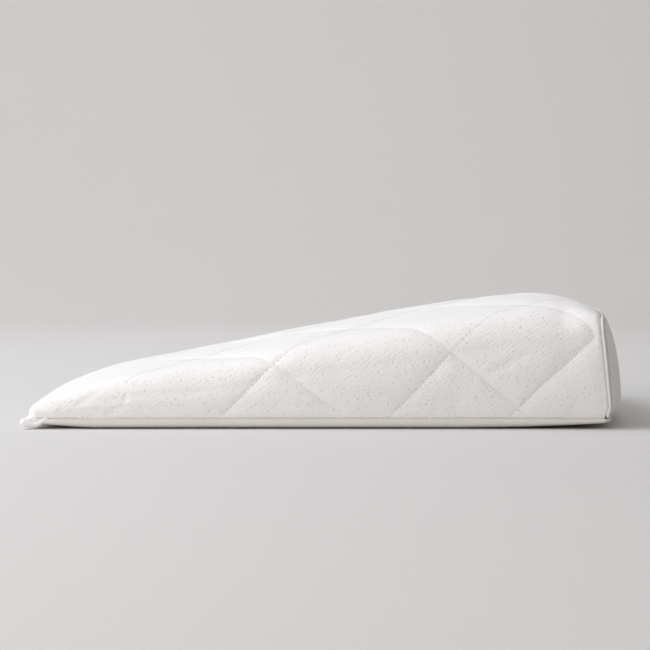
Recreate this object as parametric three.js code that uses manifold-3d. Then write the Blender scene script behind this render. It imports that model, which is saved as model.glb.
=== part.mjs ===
import * as THREE from "three";
import { mergeVertices } from "three/addons/utils/BufferGeometryUtils.js";
import Module from "manifold-3d";

// A wedge pillow lying on its base, in millimetres, +Z up, +X from the thin end to the thick end.
// Places along the pillow are measured from the thin end's seam until the last lines centre the part.

// Driving sizes
const SEAM_HEIGHT = 11; // the seam between the quilted cover and the base panel, above the floor
const GAP = 0.3; // kept between neighbouring pieces
const CLOTH_STEP = 10; // spacing of the cover's lattice, measured in the cloth
const TOP_ROWS = 40; // lattice rows across the top, from one long edge to the other
const MOST_SIDE_ROWS = 13; // rows down a side at the thick end; fewer fit towards the thin end
const LEAST_ROW = 0.4; // a last row narrower than this share of the step joins the seam
const SIDE_LEAN = 0.1; // how far the sides' cloth leans to the thick end for each millimetre down
const SIDE_BULGE = 3; // how far a side swells past its seams at half height
const SEAM_TUCK = 3; // radius with which the cover turns in to the base seam
const CROWN_POWER = 2.2; // how flat the top stays before it rolls off to the long edges
const MOST_ROUND = 0.6; // shares of a section's height that its shoulder and its tuck may take
const MOST_TUCK = 0.35;
const FULL_SWELL_HEIGHT = 100; // a side lower than this swells less

// The middle line of the top, from the thin end's seam over the nose to the thick end's seam.
const CROWN_LINE = [
  { along: -1, height: 11.2 },
  { along: -3.5, height: 18 },
  { along: 0.5, height: 26.5 },
  { along: 14, height: 34.3 },
  { along: 35, height: 42 },
  { along: 60, height: 50.3 },
  { along: 105, height: 60.4 },
  { along: 162, height: 71.3 },
  { along: 219, height: 82.2 },
  { along: 276, height: 94.5 },
  { along: 390, height: 115.6 },
  { along: 504, height: 132 },
  { along: 552, height: 134.5 },
  { along: 582, height: 130 },
  { along: 606, height: 119.5 },
];

// Cross-sections: how far the long edges lie below the crown, how round they are, and half the width.
const SECTIONS = [
  { along: -4, drop: 2, shoulder: 8, half: 190 },
  { along: 4, drop: 4, shoulder: 12, half: 196 },
  { along: 25, drop: 5, shoulder: 15, half: 198 },
  { along: 90, drop: 6, shoulder: 20, half: 198 },
  { along: 220, drop: 9, shoulder: 28, half: 197 },
  { along: 430, drop: 11, shoulder: 34, half: 197 },
  { along: 560, drop: 9, shoulder: 36, half: 199 },
  { along: 606, drop: 3, shoulder: 16, half: 200 },
];

// Quilting lines, 45 degrees to the length in the cloth: a rising line runs towards the thick end as it
// crosses the top from the near side, a falling one towards the thin end. Each place is where the line,
// or its run past the ends, crosses the near long edge, measured in the cloth from the thin end's seam.
const RISING_LINES = [-220, -50, 120, 280, 490, 650];
const FALLING_LINES = [100, 270, 440, 610, 770, 930];
const CHANNEL_DEPTH = 3;
const CHANNEL_REACH = 6.5; // distance from the line at which the channel has lost most of its depth

// Thick end
const END_BOW = 17; // how far the end seam bows out in plan at mid width
const BOW_STARTS = 250; // distance before the end seam over which the lattice takes up that bow
const END_SEAM_BOTTOM = 14; // height of the end seam's lowest run
const END_SEAM_CORNER = 7; // radius of its two lower corners
const END_TUCK = 6; // how far the end's foot turns back under, near its lower run
const END_TUCK_HEIGHT = 11;
const END_TUCK_STARTS = 40;
const PANEL_CROWN = 15; // how far the end panel swells beyond its rim
const WELT_RADIUS = 2.2;
const WELT_SIDES = 8;
// Where the cloths turn in under the welt: distance from the end seam, and how far in from its line.
const WELT_RECESS = [
  { back: 8, inset: 0 },
  { back: 3.3, inset: 1.3 },
  { back: 0.6 * GAP, inset: 3.2 }, // a little over half the gap, because the end leans
];
const CROWN_FALL = 3; // how flat the end panel's middle is
const BELLY_SHARE = 0.25; // height of its fullest part, as a share of its own height
const PANEL_RINGS = [1, 0.97, 0.92, 0.84, 0.7, 0.5, 0.25]; // shares of the way out from its middle
const FILLING_RINGS = [1, 0.7, 0.35];
const ACROSS_STEPS = 10; // divisions of the end seam's lower run

// Thin end
const NOSE_BOW = 2.5; // how far the nose bulges at mid width beyond its corners
const NOSE_BOW_ENDS = 60;
const NOSE_SEAM_STEP = 2.3; // least spacing of the side seams' lattice points by the nose
const NOSE_CORNER = CROWN_LINE[0].along + NOSE_BOW; // where the side seams start

// Base panel, as levels of its rim: height above the floor and how far it stands out past the seam.
const RIM_TOP = SEAM_HEIGHT - GAP / 2;
const BASE_RIM = [
  { height: RIM_TOP, out: 0 },
  { height: SEAM_HEIGHT - 3, out: 1.2 },
  { height: 5, out: 1.2 },
  { height: 2.4, out: -1 },
  { height: 1, out: -6 },
  { height: 0, out: -14 },
];
const BASE_REACH = 5; // how far the base runs past the cover's flat bottom at the thick end
const BASE_CORNER = 12; // the width over which that reach fades at the two corners
const BASE_LIFT = 4; // how far the thin end's underside is off the floor
const FLAT_FROM = 70; // the underside lies flat from here
const FLAT_TO = 556; // to here
const END_LIFT = 6; // how far the thick end's underside has risen at its far edge
const END_LIFT_RUN = 40;
const MIRROR = new THREE.Vector3(1, -1, 1); // from the near side to the far side
const HALF_LENGTH = 300;
const HALF_WIDTH = 200;

// Fineness and tolerances
const CROWN_DIVISIONS = 1200;
const TUCK_STEPS = 6;
const WALL_STEPS = 14;
const SHOULDER_STEPS = 10;
const TOP_STEPS = 40;
const TANGENT_REACH = 0.5; // length on each side over which an outline's direction is taken
const LEAST_DEPTH = 0.001;
const TOUCHING = 1e-4; // points nearer than this are one point
const LOBE_SIDES = 14;
const LOBE_RINGS = 10;
const TURN = 2 * Math.PI;

// Pinched seam corners of the thin end, as joined lobes on the near side: the lip's tip, the lip running
// up into the seam, and its root in the filling. Turns are in plan, tilts raise the thick end's side.
const EAR_LOBES = [
  { x: -1.5, y: -194, z: 7.3, long: 8.4, wide: 5.5, high: 4.6, turn: 0.35, tilt: 0 },
  { x: 7, y: -193, z: 7.4, long: 10.5, wide: 4.5, high: 3.2, turn: 0.1, tilt: 0.4 },
  { x: 3, y: -188, z: 12, long: 8, wide: 7, high: 5, turn: 0.3, tilt: 0.3 },
];
const EAR_CLEARANCE = 0.8; // more than the gap, because the lobes are faceted

const CLOTH_COLOUR = 0xf1efeb;
const PLAIN_COLOUR = 0xe4e2de;

function clamp01(value) {
  return Math.min(1, Math.max(0, value));
}

function smooth(value) {
  const t = clamp01(value);
  return t * t * (3 - 2 * t);
}

// One column of a table at a place along the pillow, eased between its rows.
function valueAt(rows, key, along) {
  const next = rows.findIndex((row) => row.along > along);
  if (next === 0) return rows[0][key];
  if (next < 0) return rows[rows.length - 1][key];
  const a = rows[next - 1];
  const b = rows[next];
  return a[key] + (b[key] - a[key]) * smooth((along - a.along) / (b.along - a.along));
}

const crownCurve = new THREE.CatmullRomCurve3(
  CROWN_LINE.map((row) => new THREE.Vector3(row.along, 0, row.height)),
);
crownCurve.arcLengthDivisions = CROWN_DIVISIONS;
const CLOTH_LENGTH = crownCurve.getLength();
const END_SEAM = { along: CLOTH_LENGTH, bottom: END_SEAM_BOTTOM, corner: END_SEAM_CORNER };

// The outline of one cross-section from the near seam to mid width, as close points from the seam up,
// and the length at which it passes the middle of the shoulder.
function halfSection({ crown, drop, half, shoulder, bottom, corner }) {
  const tall = Math.max(0, crown - drop - bottom);
  const round = Math.min(shoulder, tall * MOST_ROUND);
  const tuck = Math.min(corner, tall * MOST_TUCK);
  const edge = bottom + tall;
  const points = [];
  const arc = (cy, cz, radius, from, to, steps) => {
    for (let k = 0; k <= steps; k++) {
      const angle = from + ((to - from) * k) / steps;
      points.push(new THREE.Vector2(cy + radius * Math.cos(angle), cz + radius * Math.sin(angle)));
    }
  };
  arc(tuck - half, bottom + tuck, tuck, 0.75 * TURN, 0.5 * TURN, TUCK_STEPS);
  const wallFoot = bottom + tuck;
  const wallHead = edge - round;
  for (let k = 1; k < WALL_STEPS; k++) {
    const f = k / WALL_STEPS;
    const swell = SIDE_BULGE * Math.sin(Math.PI * f) * clamp01(tall / FULL_SWELL_HEIGHT);
    points.push(new THREE.Vector2(-half - swell, wallFoot + (wallHead - wallFoot) * f));
  }
  const mark = points.length + SHOULDER_STEPS / 2;
  arc(round - half, edge - round, round, 0.5 * TURN, 0.25 * TURN, SHOULDER_STEPS);
  const flat = half - round;
  for (let k = 1; k <= TOP_STEPS; k++) {
    const y = -flat * (1 - k / TOP_STEPS);
    const fall = Math.min(drop, crown - bottom) * Math.pow(Math.abs(y) / flat, CROWN_POWER);
    points.push(new THREE.Vector2(y, crown - fall));
  }
  const lengths = [0];
  for (let k = 1; k < points.length; k++) {
    lengths.push(lengths[k - 1] + points[k].distanceTo(points[k - 1]));
  }
  return { points, lengths, markLength: lengths[mark] };
}

function pointAtLength({ points, lengths }, length) {
  const next = lengths.findIndex((value) => value > length);
  if (next < 0) return points[points.length - 1].clone();
  if (next === 0) return points[0].clone();
  const f = (length - lengths[next - 1]) / (lengths[next] - lengths[next - 1] || 1);
  return points[next - 1].clone().lerp(points[next], f);
}

// How far the end seam's bow has moved a point, and how far the nose's has.
function bowShift(clothAlong, acrossShare) {
  const end = END_BOW * smooth(1 - (CLOTH_LENGTH - clothAlong) / BOW_STARTS);
  const nose = NOSE_BOW * (1 - smooth(clothAlong / NOSE_BOW_ENDS));
  return (nose - end) * Math.min(1, acrossShare * acrossShare);
}

// How far the foot of the thick end has turned back at a height.
function footShift(clothAlong, height) {
  const byEnd = smooth(1 - (CLOTH_LENGTH - clothAlong) / END_TUCK_STARTS);
  return -END_TUCK * byEnd * smooth((END_SEAM_BOTTOM + END_TUCK_HEIGHT - height) / END_TUCK_HEIGHT);
}

// The point at a length of the outline, and the direction there that leads into the filling.
function pointAndInward(outline, length) {
  const before = pointAtLength(outline, length - TANGENT_REACH);
  const along = pointAtLength(outline, length + TANGENT_REACH).sub(before).normalize();
  return { point: pointAtLength(outline, length), inward: new THREE.Vector2(along.y, -along.x) };
}

// One lattice column: its points from the near seam over the top to the far seam, drawn in by an inset.
function coverColumn({ along, number = 0, back = 0, inset = 0, bottom, corner }) {
  const middle = crownCurve.getPointAt(clamp01(along / CLOTH_LENGTH));
  const half = valueAt(SECTIONS, "half", middle.x);
  const outline = halfSection({
    crown: middle.z,
    drop: valueAt(SECTIONS, "drop", middle.x),
    shoulder: valueAt(SECTIONS, "shoulder", middle.x),
    half,
    bottom,
    corner,
  });
  const shoulderHeight = pointAtLength(outline, outline.markLength).y;
  const wallDepth = Math.max(shoulderHeight - bottom, LEAST_DEPTH);
  const place = (length, side) => {
    const { point, inward } = pointAndInward(outline, length);
    const level = middle.x + bowShift(along, Math.abs(point.x) / half) - back;
    const depth = length < outline.markLength ? shoulderHeight - point.y : 0;
    const slide = Math.max(SIDE_LEAN * wallDepth, NOSE_CORNER + NOSE_SEAM_STEP * number - level);
    const x = level + (slide * depth) / wallDepth + footShift(along, point.y);
    point.addScaledVector(inward, inset);
    return new THREE.Vector3(x, side * point.x, point.y);
  };
  const topLength = outline.lengths[outline.lengths.length - 1] - outline.markLength;
  const column = [];
  for (let row = MOST_SIDE_ROWS; row > 0; row--) {
    const length = outline.markLength - row * CLOTH_STEP;
    column.push(place(length < CLOTH_STEP * LEAST_ROW ? 0 : length, 1));
  }
  for (let row = 0; row <= TOP_ROWS; row++) {
    const fromMiddle = Math.abs(row - TOP_ROWS / 2) / (TOP_ROWS / 2);
    column.push(place(outline.markLength + topLength * (1 - fromMiddle), row <= TOP_ROWS / 2 ? 1 : -1));
  }
  for (let row = 1; row <= MOST_SIDE_ROWS; row++) {
    column.push(column[MOST_SIDE_ROWS - row].clone().multiply(MIRROR));
  }
  return column;
}

// How deep one family of quilting lines presses a lattice point, from its distance to the nearest.
function familyDepth(lines, place) {
  const shares = lines.map((start) => Math.abs(place - start) / Math.SQRT2 / CHANNEL_REACH);
  return CHANNEL_DEPTH * Math.exp(-Math.pow(Math.min(...shares), 2));
}

function risingDepth(clothAlong, row) {
  return familyDepth(RISING_LINES, clothAlong - (row - MOST_SIDE_ROWS) * CLOTH_STEP);
}

function fallingDepth(clothAlong, row) {
  return familyDepth(FALLING_LINES, clothAlong + (row - MOST_SIDE_ROWS) * CLOTH_STEP);
}

function same(a, b) {
  return a.distanceTo(b) < TOUCHING;
}

// Adds a triangle, unless two of its corners have run together at a seam.
function addTriangle(faces, a, b, c) {
  if (same(a, b) || same(b, c) || same(c, a)) return;
  faces.push([a, b, c]);
}

function addQuad(faces, a, b, c, d) {
  addTriangle(faces, a, b, c);
  addTriangle(faces, a, c, d);
}

// Fills a closed level loop of points with faces that look up or down.
function addCap(faces, loop, facesDown) {
  const points = loop.filter((p, k) => !same(p, loop[(k + 1) % loop.length]));
  const outline = points.map((p) => new THREE.Vector2(p.x, p.y));
  for (const [i, j, k] of THREE.ShapeUtils.triangulateShape(outline, [])) {
    const first = outline[j].clone().sub(outline[i]);
    const looksUp = first.cross(outline[k].clone().sub(outline[i])) > 0;
    if (looksUp === facesDown) addTriangle(faces, points[i], points[k], points[j]);
    else addTriangle(faces, points[i], points[j], points[k]);
  }
}

function geometryOf(faces) {
  const numbers = faces.flat().flatMap((p) => [p.x, p.y, p.z]);
  const geometry = new THREE.BufferGeometry();
  geometry.setAttribute("position", new THREE.Float32BufferAttribute(numbers, 3));
  return geometry;
}

const wasm = await Module();
wasm.setup();

function solidOf(geometry) {
  const bare = geometry.clone();
  bare.deleteAttribute("normal");
  bare.deleteAttribute("uv");
  const merged = mergeVertices(bare, TOUCHING);
  const mesh = new wasm.Mesh({
    numProp: 3,
    vertProperties: merged.attributes.position.array,
    triVerts: new Uint32Array(merged.index.array),
  });
  return new wasm.Manifold(mesh);
}

function geometryFromSolid(solid) {
  const { vertProperties, triVerts } = solid.getMesh();
  const geometry = new THREE.BufferGeometry();
  geometry.setAttribute("position", new THREE.BufferAttribute(vertProperties, 3));
  geometry.setIndex(new THREE.BufferAttribute(triVerts, 1));
  return geometry;
}

// Points along the thick end's lower run from the near side to the far side, ends left out.
function lowerRun(column) {
  const near = column[0];
  const far = column[column.length - 1];
  const run = [];
  for (let k = 1; k < ACROSS_STEPS; k++) {
    const point = near.clone().lerp(far, k / ACROSS_STEPS);
    const share = point.y / HALF_WIDTH;
    const nearShare = near.y / HALF_WIDTH;
    point.x += END_BOW * (nearShare * nearShare - share * share);
    run.push(point);
  }
  return run;
}

// The quilted cover with its filling: the lattice, closed below and at the thick end.
function coverFaces() {
  const places = [];
  const overBase = { bottom: SEAM_HEIGHT + GAP / 2, corner: SEAM_TUCK };
  const lastFlat = CLOTH_LENGTH - WELT_RECESS[0].back;
  for (let along = 0; along < lastFlat - CLOTH_STEP / 2; along += CLOTH_STEP) {
    places.push({ along, number: places.length, ...overBase });
  }
  places.push({ along: lastFlat, number: places.length, ...overBase });
  for (const recess of WELT_RECESS.slice(1)) places.push({ ...recess, ...END_SEAM });
  const smoothColumns = places.map(coverColumn);
  const last = places.length - 1;
  const rows = smoothColumns[0].length;
  const columns = smoothColumns.map((column, i) =>
    column.map((point, j) => {
      const onSeam = same(point, column[0]) || same(point, column[rows - 1]);
      if (i === 0 || i >= last - 1 || onSeam) return point;
      const alongCloth = smoothColumns[i + 1][j].clone().sub(smoothColumns[i - 1][j]);
      const acrossCloth = column[j + 1].clone().sub(column[j - 1]);
      const inward = acrossCloth.cross(alongCloth).normalize();
      const depth = Math.max(risingDepth(places[i].along, j), fallingDepth(places[i].along, j));
      return point.clone().addScaledVector(inward, depth);
    }),
  );
  const faces = [];
  for (let i = 0; i < last; i++) {
    for (let j = 0; j < rows - 1; j++) {
      const a = columns[i][j];
      const b = columns[i + 1][j];
      const c = columns[i + 1][j + 1];
      const d = columns[i][j + 1];
      const middle = (places[i].along + places[i + 1].along) / 2;
      if (risingDepth(middle, j + 0.5) >= fallingDepth(middle, j + 0.5)) addQuad(faces, a, b, c, d);
      else addQuad(faces, b, c, d, a);
    }
  }
  const ends = columns.slice(last - 2);
  const runs = ends.map((column) => [column[0], ...lowerRun(column), column[rows - 1]]);
  for (let k = 0; k < 2; k++) {
    for (let m = 0; m < ACROSS_STEPS; m++) {
      addQuad(faces, runs[k][m], runs[k][m + 1], runs[k + 1][m + 1], runs[k + 1][m]);
    }
  }
  const nearSeam = columns.slice(0, last - 1).map((column) => column[0]);
  const farSeam = columns.slice(0, last - 1).map((column) => column[rows - 1]);
  const noseSeam = columns[0].slice(1, -1).reverse();
  const bottomLoop = [...nearSeam, ...runs[0].slice(1, -1), ...farSeam.reverse(), ...noseSeam];
  addCap(faces, bottomLoop, true);
  const endColumn = columns[last].filter((p, k, all) => k === 0 || !same(p, all[k - 1]));
  addEndSurface(faces, [...endColumn, ...runs[2].slice(1, -1).reverse()], FILLING_RINGS, 0, true);
  return { faces, bottomLoop };
}

// The closed line that the end seam and its welt follow, or one drawn in from it.
function endSeamLoop(inset, back) {
  const column = coverColumn({ ...END_SEAM, inset, back });
  const points = column.filter((p, k) => k === 0 || !same(p, column[k - 1]));
  return [...points, ...lowerRun(column).reverse()];
}

function crownShare(way) {
  return 1 - Math.pow(Math.min(1, Math.abs(way)), CROWN_FALL);
}

// Fills a loop of the thick end with rings drawn in to its middle. The surface keeps the seam's bow and
// lean, and swells by a crown. It faces the thick end, or the filling.
function addEndSurface(faces, rim, shares, crown, facesOut) {
  const box = new THREE.Box3().setFromPoints(rim);
  const middleHeight = (box.min.z + box.max.z) / 2;
  const leanAt = (z) => -SIDE_LEAN * (z - middleHeight);
  const middleX = Math.max(...rim.map((p) => p.x - leanAt(p.z)));
  const belly = box.min.z + (box.max.z - box.min.z) * BELLY_SHARE;
  const swellAt = (y, z) => {
    const reach = z > belly ? box.max.z - belly : belly - box.min.z;
    return crown * crownShare((z - belly) / reach) * crownShare(y / box.max.y);
  };
  const ringAt = (share) =>
    rim.map((p) => {
      const z = middleHeight + (p.z - middleHeight) * share;
      const bowed = (p.x - leanAt(p.z) - middleX) * share * share;
      const y = p.y * share;
      const swell = share < 1 ? swellAt(y, z) : 0;
      return new THREE.Vector3(middleX + bowed + leanAt(z) + swell, y, z);
    });
  const apex = new THREE.Vector3(middleX + swellAt(0, middleHeight), 0, middleHeight);
  const rings = [...shares.map(ringAt), rim.map(() => apex)];
  joinRings(faces, rings, facesOut);
}

// Joins neighbouring closed rings of as many points with faces.
function joinRings(faces, rings, forward) {
  for (let r = 0; r + 1 < rings.length; r++) {
    const count = rings[r].length;
    for (let k = 0; k < count; k++) {
      const n = (k + 1) % count;
      if (forward) addQuad(faces, rings[r][k], rings[r + 1][k], rings[r + 1][n], rings[r][n]);
      else addQuad(faces, rings[r][k], rings[r][n], rings[r + 1][n], rings[r + 1][k]);
    }
  }
}

// The plain end panel: its back follows the filling, and its front is crowned outwards from the rim.
function endPanelFaces() {
  const backLoop = endSeamLoop(WELT_RECESS[2].inset, -WELT_RECESS[2].back);
  const rim = endSeamLoop(WELT_RECESS[1].inset, -WELT_RECESS[1].back);
  const faces = [];
  joinRings(faces, [backLoop, rim], true);
  addEndSurface(faces, rim, PANEL_RINGS, PANEL_CROWN, true);
  addEndSurface(faces, backLoop, FILLING_RINGS, 0, false);
  return faces;
}

// The narrow welt sewn round the end panel, as a closed tube.
function weltFaces() {
  const line = endSeamLoop(0, 0);
  const count = line.length;
  const toEnd = new THREE.Vector3(1, 0, 0);
  const rings = line.map((centre, k) => {
    const tangent = line[(k + 1) % count].clone().sub(line[(k + count - 1) % count]).normalize();
    const outward = tangent.clone().cross(toEnd).normalize();
    const beside = outward.clone().cross(tangent).normalize();
    const ring = [];
    for (let side = 0; side < WELT_SIDES; side++) {
      const angle = (TURN * side) / WELT_SIDES;
      const point = centre.clone();
      point.addScaledVector(outward, WELT_RADIUS * Math.cos(angle));
      point.addScaledVector(beside, WELT_RADIUS * Math.sin(angle));
      ring.push(point);
    }
    return ring;
  });
  const faces = [];
  joinRings(faces, [...rings, rings[0]], true);
  return faces;
}

// The plain base panel: a shallow slab whose rim turns up to the seam, lifted a little at both ends.
function baseFaces(bottomLoop) {
  const outline = bottomLoop.filter((p, k) => !same(p, bottomLoop[(k + 1) % bottomLoop.length]));
  const liftAt = (x) => {
    const thinEnd = BASE_LIFT * (1 - smooth(x / FLAT_FROM));
    return thinEnd + END_LIFT * smooth((x - FLAT_TO) / END_LIFT_RUN);
  };
  const levels = BASE_RIM.map(({ height, out }) =>
    outline.map((p) => {
      const fromMiddle = p.x - HALF_LENGTH;
      const byEnd = smooth(fromMiddle / HALF_LENGTH);
      const byCorner = smooth((Math.abs(p.y) - HALF_WIDTH + BASE_CORNER) / BASE_CORNER);
      const reach = byEnd * (1 - byCorner) * BASE_REACH;
      const x = HALF_LENGTH + fromMiddle * (1 + out / HALF_LENGTH) + reach;
      const z = height + liftAt(x) * (1 - height / RIM_TOP);
      return new THREE.Vector3(x, p.y * (1 + out / HALF_WIDTH), z);
    }),
  );
  const count = outline.length;
  const faces = [];
  addCap(faces, levels[0], false);
  joinRings(faces, levels, true);
  const floor = levels[levels.length - 1];
  const lifted = floor.filter((p, k) => {
    const touchesLifted = floor[(k + 1) % count].z > 0 || floor[(k + count - 1) % count].z > 0;
    return p.z > 0 || touchesLifted;
  });
  addCap(faces, floor.filter((p) => p.z === 0), true);
  addCap(faces, lifted.filter((p) => p.x < HALF_LENGTH), true);
  addCap(faces, lifted.filter((p) => p.x > HALF_LENGTH), true);
  return faces;
}

// The pinched corners of the thin end, grown by a clearance where they are cut from a neighbour.
function earSolids(clearance) {
  return EAR_LOBES.flatMap(({ x, y, z, long, wide, high, turn, tilt }) =>
    [1, -1].map((side) => {
      const lobe = new THREE.SphereGeometry(1, LOBE_SIDES, LOBE_RINGS);
      lobe.scale(long + clearance, wide + clearance, high + clearance);
      lobe.rotateY(-tilt);
      lobe.rotateZ(turn * side);
      lobe.translate(x, y * side, z);
      return solidOf(lobe);
    }),
  );
}

const quiltedCloth = new THREE.MeshStandardMaterial({ color: CLOTH_COLOUR, roughness: 0.92, metalness: 0 });
const plainCloth = new THREE.MeshStandardMaterial({ color: PLAIN_COLOUR, roughness: 0.9, metalness: 0 });

function namedMesh(name, geometry, material) {
  const mesh = new THREE.Mesh(geometry, material);
  mesh.name = name;
  return mesh;
}

const cover = coverFaces();
let coverSolid = solidOf(geometryOf(cover.faces));
for (const lobe of earSolids(0)) coverSolid = coverSolid.add(lobe);
let baseSolid = solidOf(geometryOf(baseFaces(cover.bottomLoop)));
for (const lobe of earSolids(EAR_CLEARANCE)) baseSolid = baseSolid.subtract(lobe);

const pillow = new THREE.Group();
pillow.add(
  namedMesh("quilted_cover", geometryFromSolid(coverSolid), quiltedCloth),
  namedMesh("base_panel", geometryFromSolid(baseSolid), plainCloth),
  namedMesh("end_panel", geometryOf(endPanelFaces()), plainCloth),
  namedMesh("end_welt", geometryOf(weltFaces()), plainCloth),
);

// The origin goes to the middle of the pillow's underside.
const extent = new THREE.Box3().setFromObject(pillow);
pillow.position.x = -(extent.min.x + extent.max.x) / 2;

export default pillow;
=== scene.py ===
"""A wedge pillow in a quilted knitted cover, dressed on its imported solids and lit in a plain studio."""

import math
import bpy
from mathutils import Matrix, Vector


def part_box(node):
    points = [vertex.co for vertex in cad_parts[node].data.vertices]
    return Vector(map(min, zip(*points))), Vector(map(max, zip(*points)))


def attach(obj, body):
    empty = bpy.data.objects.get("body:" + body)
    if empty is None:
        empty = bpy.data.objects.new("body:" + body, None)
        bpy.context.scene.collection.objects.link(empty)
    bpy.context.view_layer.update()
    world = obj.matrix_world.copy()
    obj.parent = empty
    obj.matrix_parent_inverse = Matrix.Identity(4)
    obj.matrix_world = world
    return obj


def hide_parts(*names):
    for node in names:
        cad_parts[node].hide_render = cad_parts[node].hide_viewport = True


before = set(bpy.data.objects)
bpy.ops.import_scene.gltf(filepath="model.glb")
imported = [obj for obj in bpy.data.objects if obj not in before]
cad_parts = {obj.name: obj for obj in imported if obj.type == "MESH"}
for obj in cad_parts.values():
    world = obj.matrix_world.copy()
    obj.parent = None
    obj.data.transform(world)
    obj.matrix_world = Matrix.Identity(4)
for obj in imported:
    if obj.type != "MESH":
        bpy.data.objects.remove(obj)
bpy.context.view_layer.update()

from types import SimpleNamespace

import bmesh
import bpy
import numpy as np
from bpy.props import FloatProperty, FloatVectorProperty, PointerProperty
from bpy.types import Operator, Panel, PropertyGroup
from mathutils import Vector
from mathutils.geometry import tessellate_polygon

bl_info = {
    "name": "Wedge pillow",
    "version": (1, 0, 0),
    "blender": (4, 5, 0),
    "location": "View3D > Sidebar > Pillow",
    "description": "Builds the quilted cover, panels, welt and sewing of a wedge pillow on its solids",
    "category": "Object",
}

MM = 0.001

# Shape of the pillow, in millimetres, as its solids have it. Places along it are measured from the thin
# end's seam, places across it from mid width, and the cloth's own length and width follow its surface.
SEAM_HEIGHT = 11
GAP = 0.3
TOP_SPAN = 400  # width of the top's cloth between the two long edges, as the quilting counts it
SIDE_LEAN = 0.1
SIDE_BULGE = 3
SIDE_BULGE_FULL = 100  # wall height from which a side swells by the whole of that
SEAM_ROUNDING = 18  # radius with which the sides turn in towards the base seam
SEAM_TURN = 0.55  # and how far they turn, in radians
CROWN_POWER = 2.2

# The middle line of the top: place along the pillow and height.
CROWN_LINE = [
    (-1, 11.2),
    (-3.5, 18),
    (0.5, 26.5),
    (14, 34.3),
    (35, 42),
    (60, 50.3),
    (105, 60.4),
    (162, 71.3),
    (219, 82.2),
    (276, 94.5),
    (390, 115.6),
    (504, 132),
    (552, 134.5),
    (582, 130),
    (606, 119.5),
]
# Cross-sections: place along, drop of the long edges below the crown, shoulder radius, half width.
SECTION_KEYS = ("along", "drop", "shoulder", "half")
SECTIONS = [
    (-4, 2, 8, 190),
    (4, 4, 12, 196),
    (25, 5, 15, 198),
    (90, 6, 20, 198),
    (220, 9, 28, 197),
    (430, 11, 34, 197),
    (560, 9, 36, 199),
    (606, 3, 16, 200),
]
# Quilting lines by where they cross the near long edge, measured in the cloth from the thin end's seam.
# They cross the top at 45 degrees. On the sides those that run up towards the thick end lie flatter.
RISING_LINES = [-220, -50, 120, 282, 497, 656]
FALLING_LINES = [100, 270, 440, 610, 770, 930]
SIDE_FLATTENING = 0.3

# Thick end
END_BOW = 17
BOW_STARTS = 250
END_SEAM_BOTTOM = 13.3
END_SEAM = (END_SEAM_BOTTOM, 2.5, math.pi / 2)  # its lowest height, and its lower corners' radius and turn
END_TUCK = 3
END_TUCK_HEIGHT = 11
END_TUCK_STARTS = 40
PANEL_CROWN = 15
CROWN_FALL = 3
BELLY_SHARE = 0.25  # height of the end panel's fullest part, as a share of its own height
# Where the cloths turn in under the welt: distance from the end seam, and how far in from its line.
WELT_RECESS = [(5, 0), (2.6, 0.8), (0.6 * GAP, 2.6)]

# Thin end
NOSE_BOW = 2.5
NOSE_BOW_ENDS = 60
NOSE_SEAM_SLIDE = 0.23  # least run of the side seams for each millimetre of cloth by the nose
NOSE_CORNER = CROWN_LINE[0][0] + NOSE_BOW

# Base panel, as levels of its rim: how far it stands out past the seam, and height.
RIM_TOP = SEAM_HEIGHT + 0.08
BASE_RIM = [(0, RIM_TOP), (1.5, 9.4), (2.2, 7), (2, 5), (0.6, 3.2), (-3, 1.8), (-8, 0.8), (-16, 0)]
BASE_REACH = 5
BASE_CORNER = 12
BASE_CORNER_SHORT = 1.4  # how far the base falls short of that reach at its two corners there
BASE_LIFT = 4  # of the thin end's underside off the floor
FLAT_FROM = 70
FLAT_TO = 430
END_LIFT = 6  # of the thick end's underside
END_LIFT_RUN = 176
HALF_LENGTH = 300
HALF_WIDTH = 200

# Pinched seam corners, as lobes on the near side: place, half sizes, turn in plan and upward tilt.
EAR_LOBES = [
    ((-3.2, -193.5, 7.1), (6.2, 5, 4.5), 0.35, 0),
    ((4, -188, 12), (8, 7, 5), 0.3, 0.3),
]
# The lip that runs from the pinched tip under the corner and up into the seam: place, height and radius.
EAR_LIP = [
    (-5.4, 6.9, 4.4),
    (-2, 6, 4),
    (1.5, 5.1, 3.3),
    (5.6, 4.8, 2.6),
    (9.5, 6, 2.4),
    (13.5, 8.4, 2.2),
    (18.5, 10.8, 1.5),
]
EAR_LIP_ACROSS = -195.5
EAR_LIP_STEPS = 6
EAR_LOBE_FINENESS = 4
EAR_LIP_FINENESS = 3

# Fineness of the modelled cloth
CLOTH_STEP = 2.3
SIDE_SPAN = 130  # cloth of the longest side, from the long edge down to the base seam, and a little more
LEAST_ROW = 0.4  # a last row narrower than this share of the step joins the seam
TOUCHING = 1e-6
ACROSS_STEPS = 60
END_SIDE_STEPS = 44
END_TOP_STEPS = 130
BASE_RIM_STEPS = 4
WELT_SIDES = 12
EAR_VOXEL = 0.55
EAR_SOFTENING = 5
MIRROR = (1, -1, 1)
CLOTH_MAP = "cloth"
LINE_MAP = "quilting"
FAR_OFF = 0.1  # metres; a distance to the quilting lines at which nothing of them shows

# Padding let out by simulation
PUFF_STEP = 6  # lattice spacing of the simulated cloth
PUFF_HELD = 4  # cloth this near to a quilting line is held by it
PUFF_PRESSURE = 4
PUFF_FRAMES = 20
CLOTH_EASE = 0.003  # share by which the cloth is cut larger than what it covers
PUFF_EVENINGS = 5  # times that the wadding behind the knit evens the padding out with its surroundings

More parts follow.
